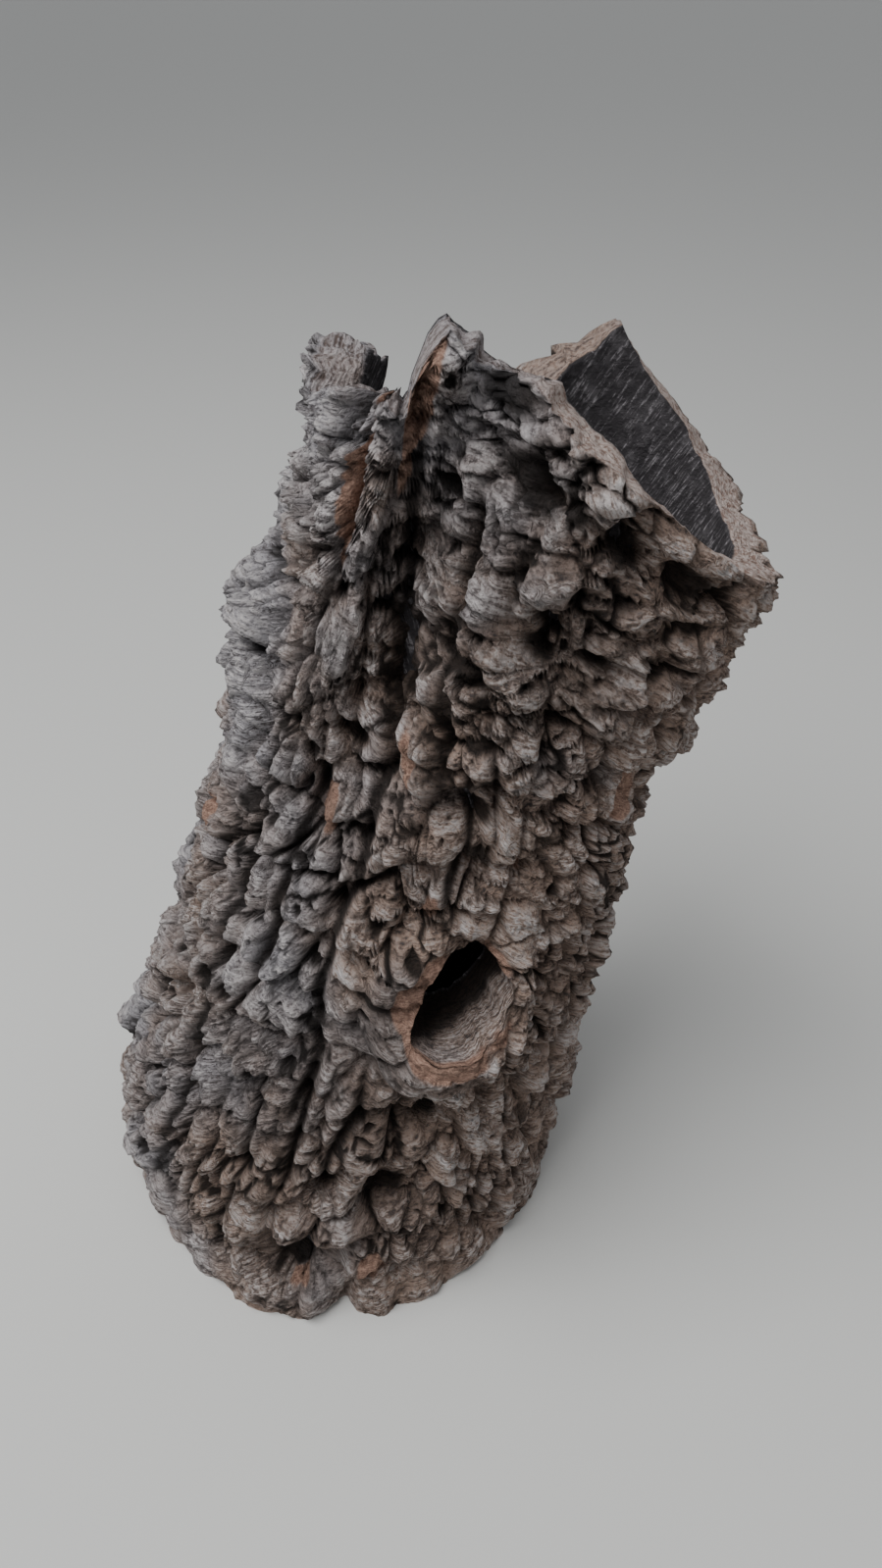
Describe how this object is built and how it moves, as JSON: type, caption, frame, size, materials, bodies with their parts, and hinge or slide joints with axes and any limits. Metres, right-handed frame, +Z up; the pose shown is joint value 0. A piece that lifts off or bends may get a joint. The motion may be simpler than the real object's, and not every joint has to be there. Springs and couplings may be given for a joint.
{
  "type": "cork branch",
  "caption": "Hollow forked length of virgin cork bark with ridged, furrowed outside and a knot hole, standing on its cut base.",
  "frame": {"origin": "on the ground, under the middle of the part's bounding box", "axes": "+Z up from the flat cut base; +X towards the side the limbs lean to; the knot hole faces -Y"},
  "size_m": [0.3172, 0.2412, 0.46],
  "materials": {
    "trunk_bark": "matt, rough grey-brown cork bark",
    "left_limb_bark": "matt, rough weathered grey cork bark",
    "right_limb_bark": "matt, rough grey-brown cork bark, charcoal grey inside"
  },
  "bodies": {
    "root": {"trunk": "trunk_bark", "left_limb": "left_limb_bark", "right_limb": "right_limb_bark"}
  },
  "joints": []
}
